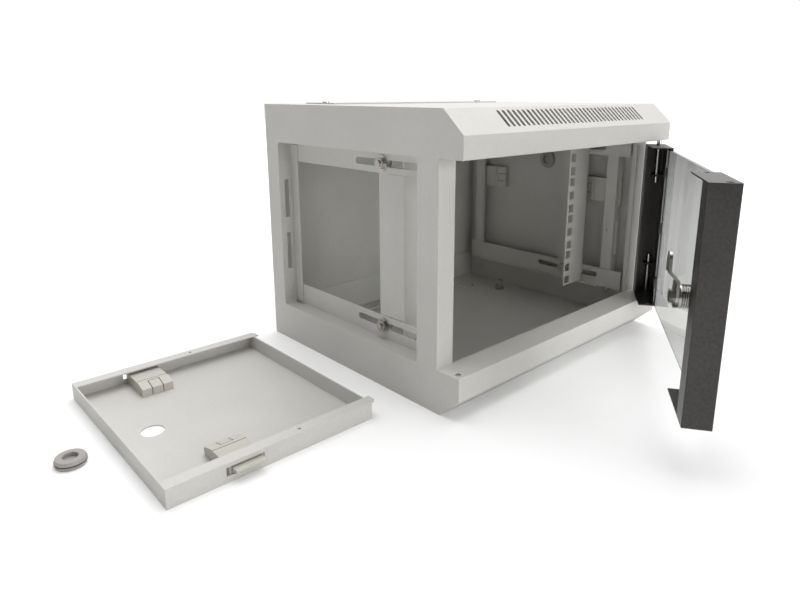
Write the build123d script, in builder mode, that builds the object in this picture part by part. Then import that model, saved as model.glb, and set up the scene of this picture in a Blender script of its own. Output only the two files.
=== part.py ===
from build123d import *
import os

# A ten inch wall mount network cabinet for four rack units, with its glass door open and its
# left side panel taken off. X runs to the right, the front faces -Y and Z is up. All sizes are
# in millimetres. The pieces are drawn with the front face of the casing at Y = 0 and moved as
# they are saved, so that the origin is at the middle of the foot strip under the front.

# Casing, as wide as the spacing of the rack's holes and the room beside them
hole_spacing_x = 236.5
hole_from_side = 51.75
cabinet_depth = 290.0
cabinet_height = 260.0
sheet = 1.2
bend_radius = 0.8
lip_top = 41.0
lip_chamfer_height = 20.0
hood_front_height = 19.0
hood_chamfer_height = 20.0
chamfer_run = 22.0
lip_depth = 28.0
fold_return = 10.0
foot_strip = 18.0
floor_height = 3.0
rear_upturn = 39.0
side_foot = 13.0

# Door recess and front posts
recess = 26.0
post_width = 20.0
post_return = 5.0

# Side openings
opening_front = 51.0
opening_rear_margin = 23.0
opening_margin = 39.5
opening_corner = 3.0
rebate = 17.0
sill_depth = 22.0
front_lip = 6.5
rear_lip = 12.0

# Vent slots in the sloped hood
vent_count = 34
vent_pitch = 6.8
vent_length = 19.8
vent_width = 3.6
vent_shift = 3.4
vent_rise = 1.6

# Cable entries in roof and floor
entry_length = 220.0
entry_width = 45.0
entry_from_rear = 46.0
entry_cover_margin = 20.0
entry_cover_side_margin = 3.5
entry_screw_inset = 7.8
entry_screw_radius = 2.0
entry_head_radius = 4.0
entry_head_height = 1.4

# Wall fixing holes
wall_hole_radius = 4.5
wall_hole_from_side = 45.0
wall_hole_from_end = 18.0

# Rack rails and the bars that carry them
unit_height = 44.45
first_hole = 6.35
hole_step = 15.875
square_hole = 9.5
rail_front = 87.3
rail_web = 34.5
rail_sheet = 1.5
rail_inner_margin = 7.25
bar_beyond_slot = 9.25
bar_sheet = 1.5
bar_front = 34.5
bar_rear_gap = 17.0
lower_slot_from_sill = 13.25
upper_slot_from_sill = 11.25
front_slot_start = 66.0
bar_end_inset = 10.65
bolt_from_web_edge = 6.8
web_notch_length = 20.7
web_notch_height = 20.5
bolt_radius = 3.0
bolt_hole_clearance = 0.2
slot_clearance = 0.3
rear_slot_length = 42.6
slot_bridge = 3.4
bolt_head_height = 4.0
bolt_head_flats = 10.0
nut_height = 5.0
nut_flange_radius = 7.5
nut_flange_height = 1.5
nut_bore_clearance = 0.05
bolt_end_beyond_nut = 1.5

# Earth stud
earth_from_side = 32.0
earth_from_rear = 83.0
earth_stud_length = 14.0
earth_washer_radius = 6.0
earth_washer_height = 1.2

# Side panels
panel_clearance = 2.0
panel_seat_gap = 0.3
rim_width = 11.0
rim_tip = 5.0
rim_tip_chamfer = 3.0
rim_hole_radius = 1.5
rim_hole_from_top = 108.0
notch_clearance = 1.2
cable_hole_radius = 9.4
cable_hole_from_top = 31.0
panel_on_floor_gap = 46.0
panel_on_floor_y = 57.5

# Panel latches
latch_from_top = 60.5
latch_width = 28.0
latch_length = 43.0
latch_rear_gap = 1.5
latch_rim_gap = 2.8
latch_crease = 32.0
latch_low_height = 8.4
latch_groove = 28.5
latch_groove_width = 1.0
latch_groove_depth = 0.6
latch_depth = 8.6
tongue_width = 24.0
tongue_thickness = 3.6
tongue_reach = 6.0
slide_clearance = 0.3
latch_travel = 6.0
tongue_inner_length = 13.0
finger_width = 9.2
finger_gap = 0.8
finger_slot_start = 32.0
cutout_above_tongue = 5.0
cutout_below_tongue = 1.5
cutout_height = 7.0
latch_slot_length = 41.0
latch_slot_width = 5.0
latch_slot_above_tongue = 1.5

# Cable grommets
grommet_flange_radius = 11.5
grommet_bore_radius = 5.6
grommet_flange_height = 2.6
grommet_taper = 1.0
grommet_edge_radius = 0.6
grommet_skin = 0.6
grommet_groove = 1.3
grommet_groove_clearance = 0.1
loose_grommet_gap = 31.0
loose_grommet_y = 160.0

# Door
door_open_angle = 33.5
hinge_inset_x = 7.0
hinge_inset_y = 7.3
door_front = 0.3
door_thickness = 20.7
door_free_gap = 10.0
door_edge_to_pin = 5.0
door_bottom_gap = 2.0
door_top_gap = 5.0
profile_width = 60.0
profile_lip = 18.0
glass_thickness = 4.0
glass_overlap = 5.0
glass_end_gap = 1.6
cap_hole_radius = 2.0
cap_hole_inset = 4.0
cap_hole_y = 10.7
clip_width = 10.0
clip_thickness = 1.5
lock_side_clip_reach = 22.0
hinge_side_clip_reach = 0.5
clip_foot = 3.5
clip_gap = 0.5
clip_from_end = 26.5

# Sprung hinge pins
pin_radius = 2.5
pin_clearance = 0.08
pin_reach = 4.3
pin_length = 54.0
pin_travel = 8.0
collar_radius = 3.4
collar_height = 2.0
collar_gap = 0.3
guide_distance = 34.0
guide_thickness = 2.0
guide_margin = 5.5
spring_wire = 0.7
spring_turns = 9
spring_radius = 3.0
hinge_washer_radius = 5.0

# Cam lock
lock_from_edge = 32.0
barrel_radius = 9.0
barrel_end = 26.5
lock_head_radius = 11.5
lock_head_height = 2.5
plug_radius = 6.0
plug_clearance = 0.06
plug_square = 8.0
key_slot_width = 2.2
key_slot_length = 8.0
key_slot_depth = 3.0
barrel_nut_flats = 22.0
barrel_nut_height = 4.0
cam_clearance = 0.3
cam_sheet = 2.0
cam_reach = 33.0
cam_hub_radius = 9.0
cam_tip_radius = 5.5
cam_joggle = 6.0
cam_straight = 12.0
cam_slope = 6.0
cam_screw_flats = 9.0
cam_screw_height = 3.5

# Places that follow from the sizes above
cabinet_width = hole_spacing_x + 2 * hole_from_side
half_width = cabinet_width / 2
inner_half = half_width - sheet
hood_bend = cabinet_height - hood_chamfer_height
hood_bottom = hood_bend - hood_front_height
rear_inside = cabinet_depth - sheet
wall_hole_spacing_x = cabinet_width - 2 * wall_hole_from_side
wall_hole_spacing_z = cabinet_height - 2 * wall_hole_from_end
opening_rear = cabinet_depth - opening_rear_margin
opening_length = opening_rear - opening_front
opening_height = cabinet_height - 2 * opening_margin
opening_middle_y = opening_front + opening_length / 2
middle_z = cabinet_height / 2
entry_middle_y = cabinet_depth - entry_from_rear
bar_outer = half_width - rebate
rail_outer = bar_outer - bar_sheet
bar_rear = cabinet_depth - bar_rear_gap
bar_sills = {"lower": opening_margin, "upper": cabinet_height - opening_margin}
bar_levels = {
    "lower": bar_sills["lower"] + lower_slot_from_sill,
    "upper": bar_sills["upper"] - upper_slot_from_sill,
}
rail_base = bar_levels["lower"] - bar_end_inset
rail_height = bar_levels["upper"] + bar_end_inset - rail_base
rack_units = int(rail_height / unit_height + 0.02)
bolt_y = rail_front + rail_web - bolt_from_web_edge
panel_length = opening_length - 2 * panel_clearance
panel_height = opening_height - 2 * panel_clearance
panel_depth = rebate - sheet - panel_seat_gap
latch_z = cabinet_height - opening_margin - panel_clearance - latch_from_top
latch_slot_spacing = 2 * abs(latch_z + latch_slot_above_tongue - middle_z)
panel_on_floor_x = -half_width - panel_on_floor_gap - panel_height
loose_grommet_x = panel_on_floor_x - loose_grommet_gap
hinge_x = half_width - hinge_inset_x
hinge_y = hinge_inset_y
door_hinge_edge = hinge_x + door_edge_to_pin
door_free_edge = -half_width + door_free_gap
door_back = door_front + door_thickness
door_base = lip_top + door_bottom_gap
door_top = hood_bottom - door_top_gap
door_height = door_top - door_base
door_middle_z = (door_base + door_top) / 2
clip_spacing = door_height / 2 - clip_from_end
glass_front = door_front + sheet
glass_back = glass_front + glass_thickness
glass_left = door_free_edge + profile_width - glass_overlap
glass_right = door_hinge_edge - profile_width + glass_overlap
lock_x = door_free_edge + lock_from_edge
cam_front = barrel_end + cam_clearance
floor_top = floor_height + sheet
earth_x = half_width - earth_from_side
earth_y = cabinet_depth - earth_from_rear
to_origin = Location((0, -chamfer_run - foot_strip / 2, 0))

os.makedirs("parts", exist_ok=True)


def save(piece, label):
    moved = to_origin * piece
    moved.label = label
    export_step(moved, f"parts/{label}.step")


def mirrored(piece):
    return mirror(piece, about=Plane.YZ, mode=Mode.PRIVATE)


def folded_outline(line, thickness):
    """Outline of a folded sheet: one side follows the line, the other lies to its left."""
    points = [Vector(*point) for point in line]
    runs = [(b - a).normalized() for a, b in zip(points, points[1:])]
    normals = [Vector(-run.Y, run.X) for run in runs]
    inner = [points[0] + normals[0] * thickness]
    for corner, before, after in zip(points[1:-1], normals, normals[1:]):
        inner.append(corner + (before + after) * (thickness / (1 + before.dot(after))))
    inner.append(points[-1] + normals[-1] * thickness)
    return [(point.X, point.Y) for point in points + inner[::-1]]


def draw_folded_sheet(section, line, thickness):
    """Draws the section of a folded sheet and rounds its folds."""
    outline = folded_outline(line, thickness)
    Polygon(*outline, align=None)
    last = len(line)
    ends = [outline[0], outline[-1], outline[last - 1], outline[last]]
    folds = [
        corner
        for corner in section.vertices()
        if all((corner.X - x) ** 2 + (corner.Y - y) ** 2 > 0.01 for x, y in ends)
    ]
    fillet(folds, bend_radius)


# Roof with the front hood, folded from one sheet
hood_line = [
    (rear_inside, cabinet_height - fold_return),
    (rear_inside, cabinet_height),
    (chamfer_run, cabinet_height),
    (0, hood_bend),
    (0, hood_bottom),
    (recess, hood_bottom),
    (recess, hood_bottom + fold_return),
]
slope_normal = (0, -(cabinet_height - hood_bend), chamfer_run)
slope_middle = (0, chamfer_run / 2, (hood_bend + cabinet_height) / 2)
with BuildPart() as top_panel:
    with BuildSketch(Plane.YZ.offset(-inner_half)) as hood_section:
        draw_folded_sheet(hood_section, hood_line, sheet)
    extrude(amount=2 * inner_half)
    with BuildSketch(Plane(origin=slope_middle, x_dir=(1, 0, 0), z_dir=slope_normal)):
        with Locations((vent_shift, vent_rise)):
            with GridLocations(vent_pitch, 1, vent_count, 1):
                SlotOverall(vent_length, vent_width, rotation=90)
    extrude(amount=3 * sheet, both=True, mode=Mode.SUBTRACT)
    with BuildSketch(Plane.XY.offset(cabinet_height)):
        with Locations((0, entry_middle_y)):
            Rectangle(entry_length, entry_width)
            with GridLocations(entry_length + 2 * (entry_cover_margin - entry_screw_inset), 1, 2, 1):
                Circle(entry_screw_radius)
    extrude(amount=-2 * sheet, mode=Mode.SUBTRACT)
    with BuildSketch(Plane.XY.offset(hood_bottom - sheet)):
        with Locations((hinge_x, hinge_y), (-hinge_x, hinge_y)):
            Circle(pin_radius + pin_clearance)
    extrude(amount=3 * sheet, mode=Mode.SUBTRACT)

# Floor with the front lip, folded from one sheet
lip_line = [
    (lip_depth, lip_top - fold_return),
    (lip_depth, lip_top),
    (0, lip_top),
    (0, lip_chamfer_height),
    (chamfer_run, 0),
    (chamfer_run + foot_strip, 0),
    (chamfer_run + foot_strip + floor_height, floor_height),
    (rear_inside, floor_height),
    (rear_inside, rear_upturn),
]
with BuildPart() as bottom_panel:
    with BuildSketch(Plane.YZ.offset(-inner_half)) as lip_section:
        draw_folded_sheet(lip_section, lip_line, sheet)
    extrude(amount=2 * inner_half)
    with BuildSketch(Plane.XY.offset(floor_height)):
        with Locations((0, entry_middle_y)):
            Rectangle(entry_length, entry_width)
            with GridLocations(entry_length + 2 * (entry_cover_margin - entry_screw_inset), 1, 2, 1):
                Circle(entry_screw_radius)
        with Locations((earth_x, earth_y)):
            Circle(bolt_radius)
    extrude(amount=2 * sheet, mode=Mode.SUBTRACT)
    with BuildSketch(Plane.XY.offset(lip_top - 2 * sheet)):
        with Locations((hinge_x, hinge_y), (-hinge_x, hinge_y)):
            Circle(pin_radius + pin_clearance)
    extrude(amount=3 * sheet, mode=Mode.SUBTRACT)
    with BuildSketch(Plane.XZ.offset(-rear_inside)):
        with Locations((0, middle_z)):
            with GridLocations(wall_hole_spacing_x, wall_hole_spacing_z, 2, 2):
                Circle(wall_hole_radius)
    extrude(amount=2 * sheet, mode=Mode.SUBTRACT)

# Rear panel with the four wall fixing holes
with BuildPart() as rear_panel:
    with BuildSketch(Plane.XZ.offset(-cabinet_depth)):
        with Locations((0, middle_z)):
            Rectangle(2 * inner_half, cabinet_height)
            with GridLocations(wall_hole_spacing_x, wall_hole_spacing_z, 2, 2):
                Circle(wall_hole_radius, mode=Mode.SUBTRACT)
    extrude(amount=sheet)

# Side frame: outer sheet, stepped rim round the opening, front post and foot
side_outline = [
    (chamfer_run, 0),
    (0, lip_chamfer_height),
    (0, lip_top),
    (recess, lip_top),
    (recess, hood_bottom),
    (0, hood_bottom),
    (0, hood_bend),
    (chamfer_run, cabinet_height),
    (cabinet_depth, cabinet_height),
    (cabinet_depth, 0),
]
post_line = [
    (-inner_half, recess),
    (-half_width + post_width, recess),
    (-half_width + post_width, recess + post_return),
]
notch_depth = panel_depth - sheet - notch_clearance
with BuildPart() as left_side_frame:
    with BuildSketch(Plane.YZ.offset(-half_width)):
        Polygon(*side_outline, align=None)
        with Locations((opening_middle_y, middle_z)):
            RectangleRounded(opening_length, opening_height, opening_corner, mode=Mode.SUBTRACT)
    extrude(amount=sheet)
    with BuildSketch(Plane.YZ.offset(-half_width)):
        with Locations((opening_middle_y, middle_z)):
            RectangleRounded(
                opening_length + 2 * sheet, opening_height + 2 * sheet, opening_corner + sheet
            )
            RectangleRounded(opening_length, opening_height, opening_corner, mode=Mode.SUBTRACT)
    extrude(amount=rebate)
    with BuildSketch(Plane.YZ.offset(-half_width)):
        with Locations((opening_middle_y, middle_z)):
            with GridLocations(1, opening_height + sheet, 1, 2):
                Rectangle(opening_length, sheet)
    extrude(amount=sill_depth)
    with BuildSketch(Plane.YZ.offset(-bar_outer - sheet)):
        with Locations((opening_front, middle_z)):
            Rectangle(front_lip, opening_height, align=(Align.MIN, Align.CENTER))
        with Locations((opening_rear, middle_z)):
            Rectangle(rear_lip, opening_height, align=(Align.MAX, Align.CENTER))
    extrude(amount=sheet)
    with BuildSketch(Plane.XY.offset(lip_top)) as post_section:
        draw_folded_sheet(post_section, post_line, sheet)
    extrude(amount=hood_bottom - lip_top)
    with BuildSketch(Plane.XY):
        with Locations((-inner_half + side_foot / 2, (rear_inside + chamfer_run + foot_strip) / 2 + sheet)):
            Rectangle(side_foot, rear_inside - chamfer_run - foot_strip - 2 * sheet)
    extrude(amount=sheet)
    with BuildSketch(Plane.XZ.offset(-opening_front + 2 * sheet)):
        with Locations((-half_width + latch_depth, middle_z)):
            with GridLocations(1, latch_slot_spacing, 1, 2):
                Rectangle(latch_slot_width, latch_slot_length)
    extrude(amount=-opening_length - 4 * sheet, mode=Mode.SUBTRACT)
    for notch_z in (opening_margin, cabinet_height - opening_margin):
        with BuildSketch(Plane.XY.offset(notch_z)):
            with Locations((-half_width + notch_depth + rebate / 2, opening_middle_y)):
                with GridLocations(1, panel_length - rim_width, 1, 2):
                    Rectangle(rebate, rim_width + 2 * notch_clearance)
        extrude(amount=opening_corner, both=True, mode=Mode.SUBTRACT)


def entry_cover(base):
    """Plate that closes a cable entry, with its two screw holes."""
    with BuildPart() as cover:
        with BuildSketch(Plane.XY.offset(base)):
            with Locations((0, entry_middle_y)):
                Rectangle(entry_length + 2 * entry_cover_margin, entry_width + 2 * entry_cover_side_margin)
                with GridLocations(entry_length + 2 * (entry_cover_margin - entry_screw_inset), 1, 2, 1):
                    Circle(entry_screw_radius, mode=Mode.SUBTRACT)
        extrude(amount=sheet)
    return cover.part


def entry_screws(head_face, direction):
    """Two pan head screws: the head stands out from the face and the shank goes the other way."""
    with BuildPart() as screws:
        with BuildSketch(Plane.XY.offset(head_face)):
            with Locations((0, entry_middle_y)):
                with GridLocations(entry_length + 2 * (entry_cover_margin - entry_screw_inset), 1, 2, 1):
                    Circle(entry_head_radius)
        extrude(amount=direction * entry_head_height)
        head_edges = screws.edges().filter_by(GeomType.CIRCLE).sort_by(Axis.Z)
        outer = head_edges[-2:] if direction > 0 else head_edges[:2]
        fillet(outer, entry_head_height * 0.6)
        with BuildSketch(Plane.XY.offset(head_face)):
            with Locations((0, entry_middle_y)):
                with GridLocations(entry_length + 2 * (entry_cover_margin - entry_screw_inset), 1, 2, 1):
                    Circle(entry_screw_radius)
        extrude(amount=-direction * 3 * sheet)
    return screws.part


def support_bar(sill, level):
    """Left hand bar from a sill to past its slots; a narrow bridge splits rear and front slot."""
    inner_edge = level + bar_beyond_slot if level > sill else level - bar_beyond_slot
    slot_width = 2 * (bolt_radius + slot_clearance)
    rear_start = bolt_y - slot_width / 2
    front_end = rear_start - slot_bridge
    front_length = front_end - front_slot_start
    with BuildPart() as bar:
        with BuildSketch(Plane.YZ.offset(-bar_outer)):
            with Locations(((bar_front + bar_rear) / 2, (sill + inner_edge) / 2)):
                Rectangle(bar_rear - bar_front, abs(inner_edge - sill))
            with Locations((rear_start + rear_slot_length / 2, level)):
                SlotOverall(rear_slot_length, slot_width, mode=Mode.SUBTRACT)
            with Locations((front_end - front_length / 2, level)):
                SlotOverall(front_length, slot_width, mode=Mode.SUBTRACT)
        extrude(amount=bar_sheet)
    return bar.part


# Rack rail: folded angle with one column of square holes and two bolt holes
rail_line = [
    (-rail_outer, rail_front + rail_web),
    (-rail_outer, rail_front),
    (-hole_spacing_x / 2 + rail_inner_margin, rail_front),
]
square_levels = [
    rail_base + unit * unit_height + first_hole + step * hole_step
    for unit in range(rack_units)
    for step in range(3)
]
with BuildPart() as left_rail:
    with BuildSketch(Plane.XY.offset(rail_base)) as rail_section:
        draw_folded_sheet(rail_section, rail_line, rail_sheet)
    extrude(amount=rail_height)
    with BuildSketch(Plane.XZ.offset(-rail_front + rail_sheet)):
        with Locations(*[(-hole_spacing_x / 2, level) for level in square_levels]):
            Rectangle(square_hole, square_hole)
    extrude(amount=-3 * rail_sheet, mode=Mode.SUBTRACT)
    with BuildSketch(Plane.YZ.offset(-rail_outer - rail_sheet)):
        with Locations(*[(bolt_y, level) for level in bar_levels.values()]):
            Circle(bolt_radius + bolt_hole_clearance)
    extrude(amount=3 * rail_sheet, mode=Mode.SUBTRACT)
    with BuildSketch(Plane.YZ.offset(-rail_outer - rail_sheet)):
        with Locations((rail_front + rail_sheet, rail_base + rail_height / 2)):
            with GridLocations(1, rail_height - web_notch_height, 1, 2):
                Rectangle(
                    web_notch_length - rail_sheet, web_notch_height, align=(Align.MIN, Align.CENTER)
                )
    extrude(amount=3 * rail_sheet, mode=Mode.SUBTRACT)

# Rail bolts, from inside the rail out through the bars
with BuildPart() as left_rail_bolts:
    with BuildSketch(Plane.YZ.offset(-rail_outer + rail_sheet)):
        with Locations(*[(bolt_y, level) for level in bar_levels.values()]):
            RegularPolygon(bolt_head_flats / 2, 6, major_radius=False)
    extrude(amount=bolt_head_height)
    with BuildSketch(Plane.YZ.offset(-rail_outer + rail_sheet)):
        with Locations(*[(bolt_y, level) for level in bar_levels.values()]):
            Circle(bolt_radius)
    extrude(amount=-(rail_sheet + bar_sheet + nut_height + bolt_end_beyond_nut))

# Flange nuts on the outer side of the bars
with BuildPart() as left_rail_nuts:
    with BuildSketch(Plane.YZ.offset(-bar_outer)):
        with Locations(*[(bolt_y, level) for level in bar_levels.values()]):
            Circle(nut_flange_radius)
    extrude(amount=-nut_flange_height)
    with BuildSketch(Plane.YZ.offset(-bar_outer)):
        with Locations(*[(bolt_y, level) for level in bar_levels.values()]):
            RegularPolygon(bolt_head_flats / 2, 6, major_radius=False)
    extrude(amount=-nut_height)
    with BuildSketch(Plane.YZ.offset(-bar_outer)):
        with Locations(*[(bolt_y, level) for level in bar_levels.values()]):
            Circle(bolt_radius + nut_bore_clearance)
    extrude(amount=-nut_height, mode=Mode.SUBTRACT)

# Earth stud on the floor, with its washer and nut
with BuildPart() as earth_stud:
    with BuildSketch(Plane.XY.offset(floor_height)):
        with Locations((earth_x, earth_y)):
            Circle(bolt_radius)
    extrude(amount=sheet + earth_stud_length)
    chamfer(earth_stud.edges().sort_by(Axis.Z)[-1], bolt_radius * 0.2)

with BuildPart() as earth_washer:
    with BuildSketch(Plane.XY.offset(floor_top)):
        with Locations((earth_x, earth_y)):
            Circle(earth_washer_radius)
            Circle(bolt_radius + bolt_hole_clearance, mode=Mode.SUBTRACT)
    extrude(amount=earth_washer_height)

with BuildPart() as earth_nut:
    with BuildSketch(Plane.XY.offset(floor_top + earth_washer_height)):
        with Locations((earth_x, earth_y)):
            RegularPolygon(bolt_head_flats / 2, 6, major_radius=False)
            Circle(bolt_radius + nut_bore_clearance, mode=Mode.SUBTRACT)
    extrude(amount=nut_height)

# Side panel, drawn with its outer face down. X runs from its top edge to its bottom edge and Y
# from one upright edge to the other.
rim_base = panel_depth - sheet
with BuildPart() as side_panel:
    with BuildSketch(Plane.XY):
        Rectangle(panel_height, panel_length, align=Align.MIN)
        with Locations((cable_hole_from_top, panel_length / 2)):
            Circle(cable_hole_radius, mode=Mode.SUBTRACT)
    extrude(amount=sheet)
    with BuildSketch(Plane.XY):
        Rectangle(panel_height, panel_length, align=Align.MIN)
        with Locations((sheet, sheet)):
            Rectangle(
                panel_height - 2 * sheet, panel_length - 2 * sheet, align=Align.MIN, mode=Mode.SUBTRACT
            )
    extrude(amount=panel_depth)
    rim_end = panel_height + rim_tip
    with BuildSketch(Plane.XY.offset(rim_base)):
        for outer_edge, inner_edge in ((0, rim_width), (panel_length, panel_length - rim_width)):
            side = 1 if inner_edge > outer_edge else -1
            Polygon(
                (0, outer_edge),
                (rim_end - rim_tip_chamfer, outer_edge),
                (rim_end, outer_edge + side * rim_tip_chamfer),
                (rim_end, inner_edge),
                (0, inner_edge),
                align=None,
            )
        with Locations((rim_hole_from_top, panel_length / 2)):
            with GridLocations(1, panel_length - rim_width, 1, 2):
                Circle(rim_hole_radius, mode=Mode.SUBTRACT)
    extrude(amount=sheet)
    with BuildSketch(Plane.XZ.offset(sheet)):
        with Locations((latch_from_top - tongue_width / 2 - cutout_above_tongue, latch_depth)):
            Rectangle(
                tongue_width + cutout_above_tongue + cutout_below_tongue,
                cutout_height,
                align=(Align.MIN, Align.CENTER),
            )
    extrude(amount=-panel_length - 2 * sheet, mode=Mode.SUBTRACT)

# Latch housing at the Y = 0 edge of the panel. Its tongue runs in a channel, and the finger that
# moves the tongue lies between two slits in the slope.
latch_high = rim_base - latch_rim_gap
latch_left = latch_from_top - latch_width / 2
latch_slope = (latch_high - latch_low_height) / (latch_length - latch_crease)
channel_height = tongue_thickness + 2 * slide_clearance
latch_profile = [
    (latch_rear_gap, sheet),
    (latch_length, sheet),
    (latch_length, latch_low_height),
    (latch_crease, latch_high),
    (latch_rear_gap, latch_high),
]
with BuildPart() as latch_housing:
    with BuildSketch(Plane.YZ.offset(latch_left)):
        Polygon(*latch_profile, align=None)
    extrude(amount=latch_width)
    with BuildSketch(Plane.XY.offset(latch_high - latch_groove_depth)):
        with Locations((latch_from_top, latch_groove)):
            Rectangle(latch_width, latch_groove_width)
    extrude(amount=latch_high, mode=Mode.SUBTRACT)
    with BuildSketch(Plane.XZ):
        with Locations((latch_from_top, latch_depth)):
            Rectangle(tongue_width + 2 * slide_clearance, channel_height)
    extrude(amount=-tongue_inner_length - latch_travel - slide_clearance, mode=Mode.SUBTRACT)
    with BuildSketch(Plane.XZ):
        with Locations((latch_from_top, latch_depth)):
            Rectangle(finger_width + 2 * slide_clearance, channel_height)
    extrude(amount=-finger_slot_start - slide_clearance, mode=Mode.SUBTRACT)
    with BuildSketch(Plane.XY.offset(sheet)):
        with Locations((latch_from_top, finger_slot_start)):
            Rectangle(finger_width + 2 * finger_gap, latch_length, align=(Align.CENTER, Align.MIN))
    extrude(amount=latch_high, mode=Mode.SUBTRACT)

# Latch slider: the tongue that reaches out through the panel's edge, and its finger
tongue_base = latch_depth - tongue_thickness / 2
finger_start = finger_slot_start + finger_gap
finger_profile = [
    (finger_start, sheet + slide_clearance),
    (latch_length, sheet + slide_clearance),
    (latch_length, latch_low_height),
    (finger_start, latch_low_height + (latch_length - finger_start) * latch_slope),
]
with BuildPart() as latch_slider:
    with BuildSketch(Plane.XY.offset(tongue_base)):
        with Locations((latch_from_top, (tongue_inner_length - tongue_reach) / 2)):
            Rectangle(tongue_width, tongue_inner_length + tongue_reach)
        with Locations((latch_from_top, (tongue_inner_length + finger_start) / 2)):
            Rectangle(finger_width, finger_start - tongue_inner_length + 2 * finger_gap)
    extrude(amount=tongue_thickness)
    tip_edge = latch_slider.edges().filter_by(Axis.X).group_by(Axis.Y)[0].sort_by(Axis.Z)[0]
    chamfer(tip_edge, tongue_thickness * 0.6)
    with BuildSketch(Plane.YZ.offset(latch_from_top - finger_width / 2)):
        Polygon(*finger_profile, align=None)
    extrude(amount=finger_width)


def opposite_edge(piece):
    """The same piece at the panel's other upright edge."""
    return mirror(piece, about=Plane.XZ.offset(-panel_length / 2), mode=Mode.PRIVATE)


# Cable grommet, drawn with its outer flange down and its groove at the sheet. A thin skin that
# the installer cuts through closes its bore.
grommet_profile = [
    (0, 0),
    (grommet_bore_radius, 0),
    (grommet_bore_radius, -grommet_flange_height),
    (grommet_flange_radius - grommet_taper, -grommet_flange_height),
    (grommet_flange_radius, 0),
    (cable_hole_radius - grommet_groove_clearance, 0),
    (cable_hole_radius - grommet_groove_clearance, grommet_groove),
    (grommet_flange_radius, grommet_groove),
    (grommet_flange_radius - grommet_taper, grommet_groove + grommet_flange_height),
    (grommet_bore_radius, grommet_groove + grommet_flange_height),
    (grommet_bore_radius, grommet_skin),
    (0, grommet_skin),
]
with BuildPart() as grommet:
    with BuildSketch(Plane.XZ) as grommet_section:
        Polygon(*grommet_profile, align=None)
        rounded = grommet_section.vertices().filter_by(
            lambda corner: corner.X > cable_hole_radius and not 0 <= corner.Y <= grommet_groove
        )
        fillet(rounded, grommet_edge_radius)
    revolve(axis=Axis.Z)

panel_on_floor = Location((panel_on_floor_x, panel_on_floor_y, 0))
panel_top = cabinet_height - opening_margin - panel_clearance
panel_fitted = Plane(
    origin=(half_width, opening_middle_y + panel_length / 2, panel_top),
    x_dir=(0, 0, -1),
    z_dir=(-1, 0, 0),
).location

# Door, drawn closed and then turned open about its pins
door_turn = Axis((hinge_x, hinge_y, 0), (0, 0, 1))


def opened(piece):
    return piece.rotate(door_turn, door_open_angle)


def door_profile(outer_edge, side, extra_holes):
    """Steel profile at one upright edge of the door, closed by caps at top and bottom.

    side is 1 where the outer edge is the right one, seen from the front."""
    inner_edge = outer_edge - side * profile_width
    lip_edge = outer_edge - side * profile_lip
    with BuildPart() as profile:
        with BuildSketch(Plane.XY.offset(door_base)):
            Polygon(
                (inner_edge, door_front),
                (outer_edge, door_front),
                (outer_edge, door_back),
                (lip_edge, door_back),
                (lip_edge, door_back - sheet),
                (outer_edge - side * sheet, door_back - sheet),
                (outer_edge - side * sheet, door_front + sheet),
                (inner_edge, door_front + sheet),
                align=None,
            )
        extrude(amount=door_height)
        upright = profile.edges().filter_by(Axis.Z)
        fillet(upright.filter_by(lambda e: abs(e.center().X - outer_edge) < 0.01), bend_radius)
        for base in (door_base, door_top - sheet):
            with BuildSketch(Plane.XY.offset(base)):
                Polygon(
                    (inner_edge, door_front + sheet),
                    (outer_edge - side * sheet, door_front + sheet),
                    (outer_edge - side * sheet, door_back),
                    (inner_edge, door_back),
                    align=None,
                )
            extrude(amount=sheet)
        with BuildSketch(Plane.XY.offset(door_base)):
            with Locations((outer_edge - side * door_edge_to_pin, hinge_y)):
                Circle(pin_radius + pin_clearance)
            with Locations((inner_edge + side * cap_hole_inset, cap_hole_y)):
                Circle(cap_hole_radius)
        extrude(amount=door_height, mode=Mode.SUBTRACT)
        for plane, radius in extra_holes:
            with BuildSketch(plane):
                Circle(radius)
            extrude(amount=2 * sheet, both=True, mode=Mode.SUBTRACT)
    return profile.part


lock_plane = Plane(origin=(lock_x, door_front, door_middle_z), x_dir=(1, 0, 0), z_dir=(0, 1, 0))
door_hinge_profile = door_profile(door_hinge_edge, 1, [])
door_lock_profile = door_profile(door_free_edge, -1, [(lock_plane, barrel_radius + bolt_hole_clearance)])

with BuildPart() as door_glass:
    with BuildSketch(Plane.XY.offset(door_base + glass_end_gap)):
        with Locations(((glass_left + glass_right) / 2, (glass_front + glass_back) / 2)):
            Rectangle(glass_right - glass_left, glass_thickness)
    extrude(amount=door_height - 2 * glass_end_gap)
    chamfer(door_glass.edges().filter_by(Axis.X), 0.4)


def glass_clips(glass_edge, side, reach):
    """Three clips that hold the pane against a profile and reach past the profile's inner edge.

    side is 1 where the profile is to the right of the pane, seen from the front."""
    foot_inner = glass_edge + side * clip_gap
    foot_outer = foot_inner + side * clip_foot
    tip = glass_edge - side * (glass_overlap + reach)
    with BuildPart() as clips:
        for step in (-1, 0, 1):
            with BuildSketch(Plane.XY.offset(door_middle_z + step * clip_spacing - clip_width / 2)):
                Polygon(
                    (foot_outer, glass_front),
                    (foot_outer, glass_back + clip_thickness),
                    (tip, glass_back + clip_thickness),
                    (tip, glass_back),
                    (foot_inner, glass_back),
                    (foot_inner, glass_front),
                    align=None,
                )
            extrude(amount=clip_width)
    return clips.part


# Sprung hinge pins: each runs in its cap and a guide, and its spring pushes its collar outwards
upper_guide_top = door_top - guide_distance
lower_guide_top = door_base + guide_distance
upper_collar_top = door_top - sheet - collar_gap
lower_collar_base = door_base + sheet + collar_gap
pin_hole_radius = pin_radius + pin_clearance


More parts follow.
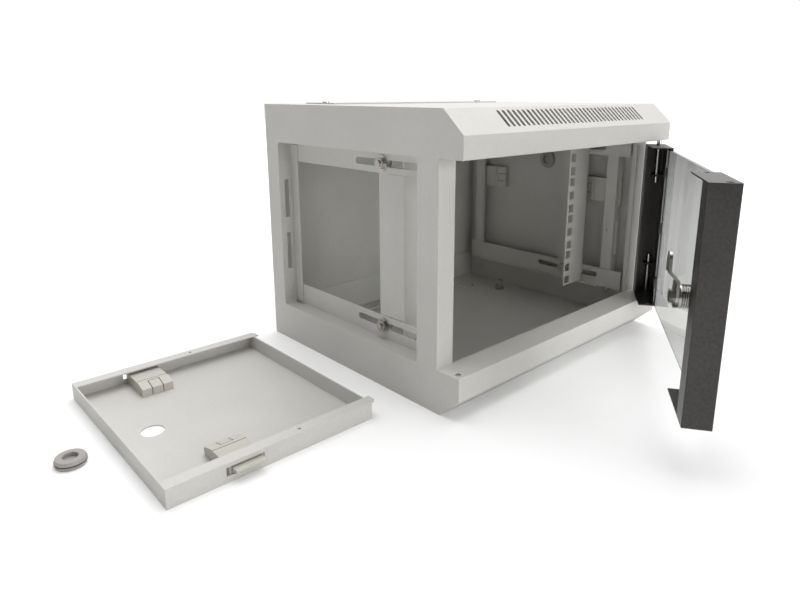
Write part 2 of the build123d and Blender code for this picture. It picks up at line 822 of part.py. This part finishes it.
def hinge_pin(tip, tail, collar_base):
    with BuildPart() as pin:
        with BuildSketch(Plane.XY.offset(min(tip, tail))):
            with Locations((hinge_x, hinge_y)):
                Circle(pin_radius)
        extrude(amount=abs(tip - tail))
        chamfer(pin.edges().sort_by(Axis.Z)[0], pin_radius * 0.2)
        chamfer(pin.edges().sort_by(Axis.Z)[-1], pin_radius * 0.2)
        with BuildSketch(Plane.XY.offset(collar_base)):
            with Locations((hinge_x, hinge_y)):
                Circle(collar_radius)
        extrude(amount=collar_height)
    return pin.part


def pin_spring(base, top):
    """Compression spring round a pin, between its guide and its collar."""
    reach = top - base - spring_wire
    start = base + spring_wire / 2
    with BuildPart() as spring:
        with BuildLine(Plane((hinge_x, hinge_y, start))) as coil:
            Helix(pitch=reach / spring_turns, height=reach, radius=spring_radius)
        with BuildSketch(Plane(origin=coil.line @ 0, z_dir=coil.line % 0)):
            Circle(spring_wire / 2)
        sweep()
    return spring.part


with BuildPart() as hinge_pin_guides:
    for base in (upper_guide_top - guide_thickness, lower_guide_top):
        with BuildSketch(Plane.XY.offset(base)):
            with Locations((door_hinge_edge - sheet, door_front + sheet)):
                Rectangle(
                    door_edge_to_pin + guide_margin - sheet,
                    hinge_y + guide_margin - door_front - sheet,
                    align=(Align.MAX, Align.MIN),
                )
            with Locations((hinge_x, hinge_y)):
                Circle(pin_hole_radius, mode=Mode.SUBTRACT)
        extrude(amount=guide_thickness)

with BuildPart() as hinge_washer:
    with BuildSketch(Plane.XY.offset(lip_top)):
        with Locations((hinge_x, hinge_y)):
            Circle(hinge_washer_radius)
            Circle(pin_hole_radius, mode=Mode.SUBTRACT)
    extrude(amount=door_bottom_gap)

upper_tip = hood_bottom + sheet + pin_reach
lower_tip = lip_top - sheet - pin_reach
upper_hinge_pin = hinge_pin(upper_tip, upper_tip - pin_length, upper_collar_top - collar_height)
lower_hinge_pin = hinge_pin(lower_tip, lower_tip + pin_length, lower_collar_base)
upper_pin_spring = pin_spring(upper_guide_top, upper_collar_top - collar_height)
lower_pin_spring = pin_spring(lower_collar_base + collar_height, lower_guide_top)

# Cam lock: the barrel stays with the door, plug, cam and screw turn in it
with BuildPart() as lock_barrel:
    with BuildSketch(lock_plane):
        Circle(lock_head_radius)
    extrude(amount=-lock_head_height)
    fillet(lock_barrel.edges().sort_by(Axis.Y)[0], 0.8)
    with BuildSketch(lock_plane):
        Circle(barrel_radius)
    extrude(amount=barrel_end - door_front)
    with BuildSketch(lock_plane):
        Circle(plug_radius + plug_clearance)
    extrude(amount=barrel_end, both=True, mode=Mode.SUBTRACT)

with BuildPart() as lock_nut:
    with BuildSketch(lock_plane.offset(sheet)):
        RegularPolygon(barrel_nut_flats / 2, 6, major_radius=False, rotation=30)
        Circle(barrel_radius + nut_bore_clearance, mode=Mode.SUBTRACT)
    extrude(amount=barrel_nut_height)

plug_front = -lock_head_height
plug_back = cam_front - door_front
with BuildPart() as lock_plug:
    with BuildSketch(lock_plane.offset(plug_front)):
        Circle(plug_radius)
    extrude(amount=plug_back - plug_front)
    with BuildSketch(lock_plane.offset(plug_back)):
        Rectangle(plug_square, plug_square)
    extrude(amount=cam_sheet)
    with BuildSketch(lock_plane.offset(plug_front)):
        Rectangle(key_slot_width, key_slot_length)
    extrude(amount=key_slot_depth, mode=Mode.SUBTRACT)

cam_back = cam_front + cam_sheet
cam_line = [
    (cam_back, door_middle_z - cam_hub_radius),
    (cam_back, door_middle_z + cam_straight),
    (cam_back + cam_joggle, door_middle_z + cam_straight + cam_slope),
    (cam_back + cam_joggle, door_middle_z + cam_reach),
]
with BuildPart() as lock_cam:
    with BuildSketch(Plane.YZ.offset(lock_x - cam_hub_radius)) as cam_section:
        draw_folded_sheet(cam_section, cam_line, cam_sheet)
    extrude(amount=2 * cam_hub_radius)
    with BuildSketch(lock_plane):
        with BuildLine():
            CenterArc((0, 0), cam_hub_radius, 0, 360)
            CenterArc((0, -cam_reach + cam_tip_radius), cam_tip_radius, 0, 360)
        make_hull()
    extrude(amount=2 * barrel_end, mode=Mode.INTERSECT)
    with BuildSketch(lock_plane.offset(plug_back)):
        Rectangle(plug_square, plug_square)
    extrude(amount=cam_sheet, mode=Mode.SUBTRACT)

with BuildPart() as cam_screw:
    with BuildSketch(lock_plane.offset(plug_back + cam_sheet)):
        RegularPolygon(cam_screw_flats / 2, 6, major_radius=False)
    extrude(amount=cam_screw_height)

# Fixed casing
save(top_panel.part, "top_panel")
save(bottom_panel.part, "bottom_panel")
save(rear_panel.part, "rear_panel")
save(left_side_frame.part, "left_side_frame")
save(mirrored(left_side_frame.part), "right_side_frame")
save(entry_cover(cabinet_height), "top_entry_cover")
save(entry_cover(floor_height - sheet), "bottom_entry_cover")
save(entry_screws(cabinet_height + sheet, 1), "top_cover_screws")
save(entry_screws(floor_height - sheet, -1), "bottom_cover_screws")
for level_name, level in bar_levels.items():
    bar = support_bar(bar_sills[level_name], level)
    save(bar, f"{level_name}_left_bar")
    save(mirrored(bar), f"{level_name}_right_bar")
save(earth_stud.part, "earth_stud")
save(earth_washer.part, "earth_washer")
save(earth_nut.part, "earth_nut")

# Rails with their bolts and nuts
save(left_rail.part, "left_rail")
save(mirrored(left_rail.part), "right_rail")
save(left_rail_bolts.part, "left_rail_bolts")
save(mirrored(left_rail_bolts.part), "right_rail_bolts")
save(left_rail_nuts.part, "left_rail_nuts")
save(mirrored(left_rail_nuts.part), "right_rail_nuts")

# Left panel on the floor and right panel in its opening. Fitted on the right, the panel's
# Y = 0 edge is the rear one.
latch = latch_slider.part
other_latch = opposite_edge(latch)
for side_name, place, latches in (
    ("left", panel_on_floor, {"front": latch, "rear": other_latch}),
    ("right", panel_fitted, {"front": other_latch, "rear": latch}),
):
    save(place * side_panel.part, f"{side_name}_side_panel")
    for edge_name, slider in latches.items():
        save(place * slider, f"{side_name}_panel_{edge_name}_latch")
    housings = Compound(children=[latch_housing.part, opposite_edge(latch_housing.part)])
    save(place * housings, f"{side_name}_panel_latch_housings")
grommet_in_panel = panel_fitted * Location((cable_hole_from_top, panel_length / 2, 0))
save(grommet_in_panel * grommet.part, "right_panel_grommet")
loose_place = Location((loose_grommet_x, loose_grommet_y, grommet_flange_height))
save(loose_place * grommet.part, "loose_grommet")

# Door
door_pieces = {
    "door_hinge_profile": door_hinge_profile,
    "door_lock_profile": door_lock_profile,
    "door_glass": door_glass.part,
    "hinge_side_glass_clips": glass_clips(glass_right, 1, hinge_side_clip_reach),
    "lock_side_glass_clips": glass_clips(glass_left, -1, lock_side_clip_reach),
    "hinge_pin_guides": hinge_pin_guides.part,
    "hinge_washer": hinge_washer.part,
    "upper_hinge_pin": upper_hinge_pin,
    "lower_hinge_pin": lower_hinge_pin,
    "upper_pin_spring": upper_pin_spring,
    "lower_pin_spring": lower_pin_spring,
    "lock_barrel": lock_barrel.part,
    "lock_nut": lock_nut.part,
    "lock_plug": lock_plug.part,
    "lock_cam": lock_cam.part,
    "cam_screw": cam_screw.part,
}
for label, piece in door_pieces.items():
    save(opened(piece), label)
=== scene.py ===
import math

import bmesh
import bpy
from mathutils import Matrix, Vector


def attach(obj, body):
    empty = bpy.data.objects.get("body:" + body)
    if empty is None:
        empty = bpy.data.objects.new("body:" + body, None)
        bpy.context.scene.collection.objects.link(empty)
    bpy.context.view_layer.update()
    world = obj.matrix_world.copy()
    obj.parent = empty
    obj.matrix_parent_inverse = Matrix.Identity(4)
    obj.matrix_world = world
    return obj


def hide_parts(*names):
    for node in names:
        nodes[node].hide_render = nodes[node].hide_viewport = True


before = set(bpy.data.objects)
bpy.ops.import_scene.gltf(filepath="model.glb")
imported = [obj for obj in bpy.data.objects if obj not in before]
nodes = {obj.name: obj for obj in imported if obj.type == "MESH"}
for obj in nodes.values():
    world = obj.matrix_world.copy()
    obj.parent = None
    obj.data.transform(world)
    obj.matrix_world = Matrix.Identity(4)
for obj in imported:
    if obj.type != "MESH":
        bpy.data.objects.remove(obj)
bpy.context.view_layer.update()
mm = 0.001

# Places that the door and its lock take from the construction, in millimetres
hinge_x = 163.0
hinge_y = -23.7
door_open_angle = 33.5
lock_x = -128.0
lock_z = 129.5
lock_face_y = -30.7

# Lock barrel, in millimetres. The plain length is the least that the thread leaves free at both
# ends together.
barrel_radius = 9.0
barrel_length = 26.2
barrel_end_step = 0.5
bore_radius = 6.06
head_radius = 11.5
head_height = 2.5
head_rounding = 0.8
thread_start = 3.5
thread_pitch = 1.5
thread_depth = 0.75
plain_length = 4.0
barrel_segments = 64
weld_distance = 1e-6

# Powder coat: its tone drifts over this length, and the relief of its grain is this deep
drift_mm = 60
drift_share = 0.35
coat_relief_mm = 0.2
coat_ior = 1.5

# Moulded plastic: how strong and how deep its grain is
mould_relief = 0.25
mould_relief_mm = 0.1

# Door glass
smear_mm = 45
smear_roughness = 0.05
glass_ior = 1.52

# White floor. Seen by the camera it is lifted to pure white, less so near the cabinet, where its
# shadow has to show. Distances in metres from the middle of the scene.
floor_reach = 6
floor_colour = "#EDEDED"
floor_roughness = 0.9
shadow_distance = 0.5
white_distance = 1.6
lift_in_shadow = 0.14
lift_far_off = 0.95

# Surround: bright towards the backdrop behind the cabinet and dim behind the camera. The two
# limits are the cosines to the backdrop's direction at which the level stops changing.
backdrop_direction = (0.68, 0.73, 0.0)
dim_limit = -0.5
bright_limit = 0.6
dim_level = 0.14
bright_level = 1.0

# Camera at the photograph's viewing angle, in metres and radians, with its lens in millimetres
camera_place = (-0.51817, -0.34833, 0.27036)
camera_tilt_down = 0.239
camera_roll = -0.001
camera_heading = -0.751
camera_lens = 27.84
camera_sensor = 36.0
camera_shift = (-0.0165, -0.0690)
camera_clip_start = 0.01


def linear(hex_colour):
    """Turns an sRGB hex colour into the linear colour that a shader takes."""
    values = []
    for start in (1, 3, 5):
        part = int(hex_colour[start:start + 2], 16) / 255
        values.append(part / 12.92 if part <= 0.04045 else ((part + 0.055) / 1.055) ** 2.4)
    return (*values, 1.0)


def add_node(owner, kind, settings=None, inputs=None, links=None):
    """Adds a shader node to a material or world, sets its properties and inputs, and links it."""
    node = owner.node_tree.nodes.new(kind)
    for name, value in (settings or {}).items():
        setattr(node, name, value)
    for name, value in (inputs or {}).items():
        node.inputs[name].default_value = value
    for name, socket in (links or {}).items():
        owner.node_tree.links.new(socket, node.inputs[name])
    return node


def join(owner, socket, target):
    owner.node_tree.links.new(socket, target)


def new_material(name, **inputs):
    """A material with a Principled shader. Input names are written with _ for a space."""
    material = bpy.data.materials.new(name)
    material.use_nodes = True
    shader = material.node_tree.nodes["Principled BSDF"]
    for key, value in inputs.items():
        shader.inputs[key.replace("_", " ")].default_value = value
    return material, shader


def noise(material, size_mm, detail, roughness):
    """Noise of a real size, fixed to the piece."""
    place = add_node(material, "ShaderNodeTexCoord")
    pattern = add_node(
        material, "ShaderNodeTexNoise",
        inputs={"Scale": 1 / (size_mm * mm), "Detail": detail, "Roughness": roughness},
        links={"Vector": place.outputs["Object"]},
    )
    return pattern.outputs["Fac"]


def two_tone(material, shader, pattern, dark, light, start, end):
    """Colours the piece from dark to light as the pattern goes from start to end."""
    tone = add_node(material, "ShaderNodeValToRGB", links={"Fac": pattern})
    for element, colour, position in zip(tone.color_ramp.elements, (dark, light), (start, end)):
        element.position = position
        element.color = linear(colour)
    join(material, tone.outputs["Color"], shader.inputs["Base Color"])


def varied_roughness(material, shader, pattern, low, high):
    shine = add_node(
        material, "ShaderNodeMapRange", inputs={"To Min": low, "To Max": high},
        links={"Value": pattern},
    )
    join(material, shine.outputs["Result"], shader.inputs["Roughness"])


def add_relief(material, shader, pattern, strength, depth_mm):
    relief = add_node(
        material, "ShaderNodeBump", inputs={"Strength": strength, "Distance": depth_mm * mm},
        links={"Height": pattern},
    )
    join(material, relief.outputs["Normal"], shader.inputs["Normal"])


def powder_coat(name, dark, light, roughness, grain_mm, relief, metallic=0.0):
    """Powder coat baked on sheet steel: a fine orange peel that breaks up the highlights, and a
    faint drift in tone over a few centimetres. The real grain is under half a millimetre, which
    is too fine to show, so it is drawn coarser."""
    material, shader = new_material(name, IOR=coat_ior, Metallic=metallic)
    grain = noise(material, grain_mm, detail=3.0, roughness=0.6)
    drift = noise(material, drift_mm, detail=2.0, roughness=0.5)
    both = add_node(
        material, "ShaderNodeMix", {"data_type": "FLOAT"}, {"Factor": drift_share},
        {"A": grain, "B": drift},
    )
    two_tone(material, shader, both.outputs["Result"], dark, light, start=0.38, end=0.62)
    varied_roughness(material, shader, grain, roughness - 0.06, roughness + 0.06)
    add_relief(material, shader, grain, relief, coat_relief_mm)
    return material


def plated_steel(name, dark, light, roughness, patch_mm):
    """Bright plating on steel: a metal with a slightly cloudy sheen from the bath."""
    material, shader = new_material(name, Metallic=1.0)
    cloud = noise(material, patch_mm, detail=4.0, roughness=0.55)
    two_tone(material, shader, cloud, dark, light, start=0.3, end=0.7)
    varied_roughness(material, shader, cloud, roughness - 0.05, roughness + 0.08)
    return material


def moulded(name, dark, light, roughness, ior, grain_mm):
    """Moulded plastic or rubber: an even colour with a fine spark eroded grain."""
    material, shader = new_material(name, Roughness=roughness, IOR=ior)
    grain = noise(material, grain_mm, detail=2.0, roughness=0.5)
    two_tone(material, shader, grain, dark, light, start=0.3, end=0.7)
    add_relief(material, shader, grain, mould_relief, mould_relief_mm)
    return material


def float_glass(name, tint):
    """Float glass: clear with a faint grey green tint, and it lets the light through to what
    stands behind it instead of casting a black shadow."""
    colour = linear(tint)
    material, shader = new_material(
        name, Base_Color=colour, IOR=glass_ior, Transmission_Weight=1.0
    )
    smear = noise(material, smear_mm, detail=2.0, roughness=0.5)
    varied_roughness(material, shader, smear, 0.0, smear_roughness)
    path = add_node(material, "ShaderNodeLightPath")
    clear = add_node(material, "ShaderNodeBsdfTransparent", inputs={"Color": colour})
    mix = add_node(
        material, "ShaderNodeMixShader",
        links={
            "Fac": path.outputs["Is Shadow Ray"],
            1: shader.outputs["BSDF"],
            2: clear.outputs["BSDF"],
        },
    )
    output = material.node_tree.nodes["Material Output"]
    join(material, mix.outputs["Shader"], output.inputs["Surface"])
    return material


# Light grey powder coat: matt, warm, with a fine even grain
grey_coat = powder_coat("powder_coat_light_grey", "#C5C3BE", "#CCCAC6", 0.5, 1.6, 0.35)
# The same coat inside on the rear wall: coarser and a little glossier, so single grains glint
inner_coat = powder_coat("powder_coat_light_grey_coarse", "#BDBBB6", "#CAC8C3", 0.32, 1.5, 1.0)
# Graphite powder coat of the door: metal flakes in it mirror the pale floor at the door's foot and
# stay dark higher up, and its grain glints a little
graphite_coat = powder_coat("powder_coat_graphite", "#434140", "#4D4B49", 0.34, 2.0, 0.3, 0.8)
# Zinc plated steel of the fasteners: bright with a soft, slightly cloudy sheen
zinc = plated_steel("zinc_plated_steel", "#B0ADA7", "#D2CFC9", 0.2, 3.0)
# Dull zinc on the clips at the lock side: the sheen is spread wide, close to a light grey
dull_zinc = plated_steel("dull_zinc_plated_steel", "#B4B2AC", "#C6C4BF", 0.55, 4.0)
# Zinc die cast lock under thin nickel: greyer than the fasteners, with sharp dark reflections
nickel = plated_steel("nickel_plated_zinc", "#9A9894", "#B5B3AF", 0.2, 5.0)
# Moulded ABS of the panel latches: warm grey with a soft shine
abs_plastic = moulded("moulded_abs_warm_grey", "#BAB7AE", "#C2BFB7", 0.42, 1.53, 1.2)
# Moulded soft PVC of the cable grommets: darker grey and dull
soft_pvc = moulded("moulded_soft_pvc_grey", "#9C9895", "#A5A19E", 0.55, 1.52, 1.2)
# Moulded nylon washer under the door: off white
nylon = moulded("moulded_nylon_white", "#DAD8D2", "#E4E2DC", 0.4, 1.53, 1.2)
# Float glass of the door
glass = float_glass("float_glass_clear", "#ECEEEC")

finishes = {
    grey_coat: [
        "top_panel", "bottom_panel", "left_side_frame", "right_side_frame",
        "top_entry_cover", "bottom_entry_cover", "upper_left_bar", "lower_left_bar",
        "upper_right_bar", "lower_right_bar", "left_rail", "right_rail", "left_side_panel",
        "right_side_panel",
    ],
    inner_coat: ["rear_panel"],
    # The glass clips and pin guides on the hinge side take the dark graphite coat as painted shade,
    # so they sink into the deep shade inside the hinge channel.
    graphite_coat: [
        "door_hinge_profile", "door_lock_profile", "hinge_side_glass_clips", "hinge_pin_guides",
    ],
    zinc: [
        "top_cover_screws", "bottom_cover_screws", "left_rail_bolts", "right_rail_bolts",
        "left_rail_nuts", "right_rail_nuts", "earth_stud", "earth_washer", "earth_nut",
        "upper_hinge_pin", "lower_hinge_pin", "upper_pin_spring", "lower_pin_spring",
    ],
    dull_zinc: ["lock_side_glass_clips"],
    nickel: ["lock_nut", "lock_plug", "lock_barrel", "lock_cam", "cam_screw"],
    abs_plastic: [
        "left_panel_latch_housings", "right_panel_latch_housings", "left_panel_front_latch",
        "left_panel_rear_latch", "right_panel_front_latch", "right_panel_rear_latch",
    ],
    soft_pvc: ["right_panel_grommet", "loose_grommet"],
    nylon: ["hinge_washer"],
    glass: ["door_glass"],
}
for finish, names in finishes.items():
    for name in names:
        nodes[name].data.materials.clear()
        nodes[name].data.materials.append(finish)


def add_object(name, data):
    item = bpy.data.objects.new(name, data)
    bpy.context.scene.collection.objects.link(item)
    return item


def mesh_object(name, mesh, material):
    """Turns a bmesh into an object of one material."""
    data = bpy.data.meshes.new(name)
    mesh.to_mesh(data)
    mesh.free()
    data.materials.append(material)
    return add_object(name, data)


def turned(outline, segments):
    """A bmesh turned round Z from an outline of (radius, height) in millimetres."""
    mesh = bmesh.new()
    corners = [mesh.verts.new((radius * mm, 0, height * mm)) for radius, height in outline]
    edges = [mesh.edges.new(pair) for pair in zip(corners, corners[1:] + corners[:1])]
    bmesh.ops.spin(
        mesh, geom=corners + edges, cent=(0, 0, 0), axis=(0, 0, 1), angle=math.tau,
        steps=segments, use_merge=True, use_duplicate=False,
    )
    return mesh


def barrel_outline():
    """Half section of the lock barrel, from its head at the door's face to its inner end."""
    outline = [
        (bore_radius, -head_height),
        (head_radius - head_rounding, -head_height),
        (head_radius - 0.2, -head_height + 0.3),
        (head_radius, -head_height + head_rounding),
        (head_radius, 0),
        (barrel_radius, 0),
    ]
    turns = int((barrel_length - plain_length) / thread_pitch)
    for turn in range(turns):
        start = thread_start + turn * thread_pitch
        outline.append((barrel_radius, start))
        outline.append((barrel_radius - thread_depth, start + thread_pitch * 0.5))
    outline.append((barrel_radius, thread_start + turns * thread_pitch))
    outline.append((barrel_radius - barrel_end_step, barrel_length))
    outline.append((bore_radius, barrel_length))
    return outline


# The barrel is turned round Z, laid along the lock's axis in the closed door and swung open with it
to_hinge = Matrix.Translation(Vector((hinge_x, hinge_y, 0)) * mm)
door_turn = to_hinge @ Matrix.Rotation(math.radians(door_open_angle), 4, "Z") @ to_hinge.inverted()
lock_place = (
    door_turn
    @ Matrix.Translation(Vector((lock_x, lock_face_y, lock_z)) * mm)
    @ Matrix.Rotation(math.radians(-90), 4, "X")
)

# Lock barrel with its thread, which the solid leaves as a plain cylinder
barrel = turned(barrel_outline(), barrel_segments)
bmesh.ops.transform(barrel, matrix=lock_place, verts=barrel.verts)
bmesh.ops.remove_doubles(barrel, verts=barrel.verts, dist=weld_distance)
bmesh.ops.recalc_face_normals(barrel, faces=barrel.faces)
threaded_barrel = mesh_object("lock_barrel_thread", barrel, nickel)
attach(threaded_barrel, "door")
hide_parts("lock_barrel")


def paper_floor():
    """White paper that keeps the soft shadow and runs out to pure white."""
    material, shader = new_material(
        "paper_floor", Base_Color=linear(floor_colour), Roughness=floor_roughness,
        Specular_IOR_Level=0.0, Emission_Color=(1, 1, 1, 1),
    )
    path = add_node(material, "ShaderNodeLightPath")
    place = add_node(material, "ShaderNodeTexCoord")
    distance = add_node(
        material, "ShaderNodeVectorMath", {"operation": "LENGTH"},
        links={0: place.outputs["Object"]},
    )
    far_off = add_node(
        material, "ShaderNodeMapRange",
        inputs={
            "From Min": shadow_distance,
            "From Max": white_distance,
            "To Min": lift_in_shadow,
            "To Max": lift_far_off,
        },
        links={"Value": distance.outputs["Value"]},
    )
    lift = add_node(
        material, "ShaderNodeMath", {"operation": "MULTIPLY"},
        links={0: path.outputs["Is Camera Ray"], 1: far_off.outputs["Result"]},
    )
    join(material, lift.outputs["Value"], shader.inputs["Emission Strength"])
    return material


floor_mesh = bmesh.new()
bmesh.ops.create_grid(floor_mesh, x_segments=1, y_segments=1, size=floor_reach)
floor = mesh_object("floor", floor_mesh, paper_floor())


def white_surround():
    """Pure white where the camera sees it, also through the glass, and a studio for the rest."""
    world = bpy.data.worlds.new("white_surround")
    world.use_nodes = True
    background = world.node_tree.nodes["Background"]
    background.inputs["Color"].default_value = (1, 1, 1, 1)
    path = add_node(world, "ShaderNodeLightPath")
    seen = add_node(
        world, "ShaderNodeMath", {"operation": "MAXIMUM"},
        links={0: path.outputs["Is Camera Ray"], 1: path.outputs["Is Transmission Ray"]},
    )
    direction = add_node(world, "ShaderNodeTexCoord")
    towards_backdrop = add_node(
        world, "ShaderNodeVectorMath", {"operation": "DOT_PRODUCT"}, {1: backdrop_direction},
        {0: direction.outputs["Generated"]},
    )
    studio = add_node(
        world, "ShaderNodeMapRange",
        inputs={
            "From Min": dim_limit,
            "From Max": bright_limit,
            "To Min": dim_level,
            "To Max": bright_level,
        },
        links={"Value": towards_backdrop.outputs["Value"]},
    )
    level = add_node(
        world, "ShaderNodeMix", {"data_type": "FLOAT"}, {"B": 1.0},
        {"Factor": seen.outputs["Value"], "A": studio.outputs["Result"]},
    )
    join(world, level.outputs["Result"], background.inputs["Strength"])
    return world


bpy.context.scene.world = white_surround()


def softbox(name, place, target, width, height, power):
    """A soft lamp that faces its target, in metres and watts."""
    lamp = bpy.data.lights.new(name, "AREA")
    lamp.shape = "RECTANGLE"
    lamp.size = width
    lamp.size_y = height
    lamp.energy = power
    holder = add_object(name, lamp)
    holder.location = place
    direction = Vector(target) - Vector(place)
    holder.rotation_euler = direction.to_track_quat("-Z", "Y").to_euler()


softbox("overhead_softbox", (0.1, 0.15, 1.7), (-0.05, 0.05, 0.1), 2.0, 2.0, 29.0)
softbox("front_softbox", (0.1, -2.0, 0.5), (0.0, 0.0, 0.1), 1.2, 1.2, 19.5)
softbox("low_left_softbox", (-1.3, 0.2, 0.12), (-0.17, 0.1, 0.05), 0.8, 0.3, 0.9)

camera_data = bpy.data.cameras.new("photo_view")
camera_data.sensor_width = camera_sensor
camera_data.lens = camera_lens
camera_data.shift_x, camera_data.shift_y = camera_shift
camera_data.clip_start = camera_clip_start
camera = add_object("photo_view", camera_data)
camera.location = camera_place
camera.rotation_euler = (math.pi / 2 - camera_tilt_down, camera_roll, camera_heading)
bpy.context.scene.camera = camera
bpy.context.scene.view_settings.view_transform = "Standard"
